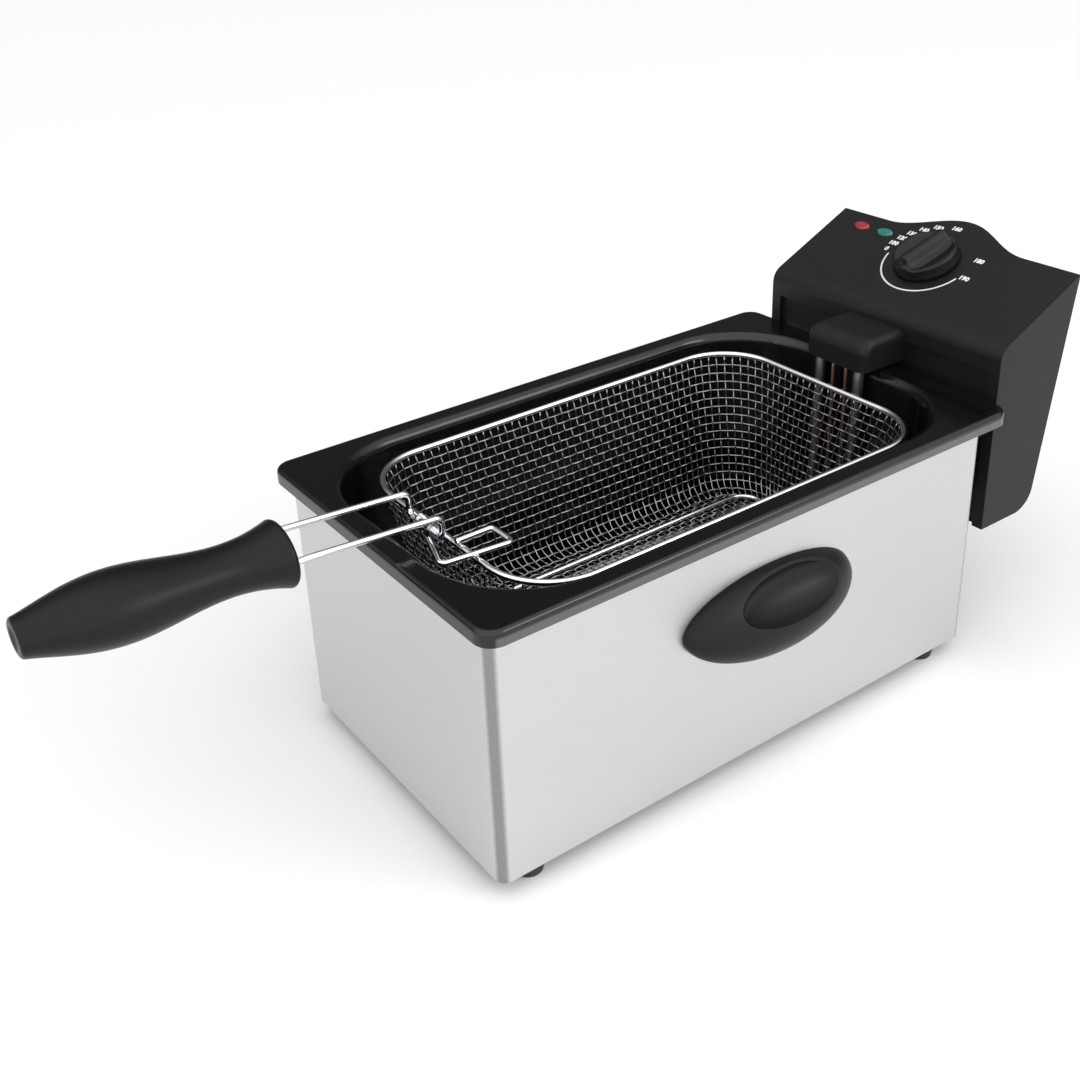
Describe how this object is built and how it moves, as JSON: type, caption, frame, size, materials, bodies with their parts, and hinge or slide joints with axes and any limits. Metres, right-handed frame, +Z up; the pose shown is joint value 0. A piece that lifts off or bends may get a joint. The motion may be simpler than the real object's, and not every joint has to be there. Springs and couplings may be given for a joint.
{
  "type": "deep_fryer",
  "caption": "Countertop deep fryer: stainless housing, lift-out enamelled oil tank, lift-off control head with heating element, wire basket with hinged handle.",
  "frame": {"origin": "middle of the bounding box on the table plane under the feet", "axes": "+X from the basket handle to the control head, +Y to the left side handle seen from the basket handle end, +Z up"},
  "size_m": [0.592, 0.228, 0.2257],
  "materials": {
    "stainless": "brushed",
    "black_enamel": "gloss",
    "black_paint": "satin",
    "black_plastic": "satin",
    "rubber": "matte",
    "chrome": "polished",
    "zinc_steel": "satin",
    "element_steel": "satin",
    "aluminium": "satin",
    "copper": "satin",
    "brass": "satin",
    "white_plastic": "satin",
    "red_plastic": "gloss",
    "red_lens": "gloss",
    "green_lens": "gloss"
  },
  "bodies": {
    "housing": {"outer_housing": "stainless", "housing_base": "black_paint", "foot_front_right": "rubber", "foot_front_left": "rubber", "foot_rear_right": "rubber", "foot_rear_left": "rubber", "foot_screws": "zinc_steel", "side_handle_right": "black_plastic", "side_handle_left": "black_plastic", "side_handle_screws": "zinc_steel", "head_guide": "black_plastic", "guide_rivets": "aluminium"},
    "tank": {"oil_tank": "black_enamel"},
    "control_head": {"control_housing": "black_plastic", "control_rear_cover": "black_plastic", "cover_screws": "zinc_steel", "head_hooks": "zinc_steel", "red_lamp_lens": "red_lens", "green_lamp_lens": "green_lens", "lamp_bodies": "white_plastic", "thermostat_body": "zinc_steel", "safety_cutout": "white_plastic", "terminal_block": "white_plastic", "cord_gland": "black_plastic", "element_bridge": "black_plastic", "element_plate": "zinc_steel", "heating_element": "element_steel", "element_support": "element_steel", "thermostat_sensor": "copper", "cutout_sensor": "copper"},
    "knob": {"temperature_knob": "black_plastic", "thermostat_shaft": "brass"},
    "reset": {"reset_button": "red_plastic"},
    "basket": {"basket_mesh": "chrome", "basket_rim": "chrome", "basket_floor_frame": "chrome", "basket_feet": "chrome", "basket_bracket": "chrome", "basket_pivot_lugs": "chrome"},
    "basket_handle": {"handle_wires": "chrome", "handle_grip": "black_plastic"}
  },
  "joints": [
    {"name": "tank_lift", "type": "slide", "parent": "housing", "child": "tank", "axis": [0, 0, 1], "range_m": [0, 0.18]},
    {"name": "head_lift", "type": "slide", "parent": "tank", "child": "control_head", "axis": [0, 0, 1], "range_m": [0, 0.18]},
    {"name": "basket_lift", "type": "slide", "parent": "control_head", "child": "basket", "axis": [0, 0, 1], "range_m": [0, 0.18]},
    {"name": "handle_fold", "type": "hinge", "parent": "basket", "child": "basket_handle", "pos_m": [-0.1012, 0, 0.154], "axis": [0, 1, 0], "range_deg": [0, 95]},
    {"name": "temperature_turn", "type": "hinge", "parent": "control_head", "child": "knob", "pos_m": [0.26045, 0.002, 0.20485], "axis": [0.4179, 0, -0.9085], "range_deg": [0, 270]},
    {"name": "reset_press", "type": "slide", "parent": "control_head", "child": "reset", "axis": [0, 0, 1], "range_m": [0, 0.002], "stiffness_N_per_m": 800}
  ]
}
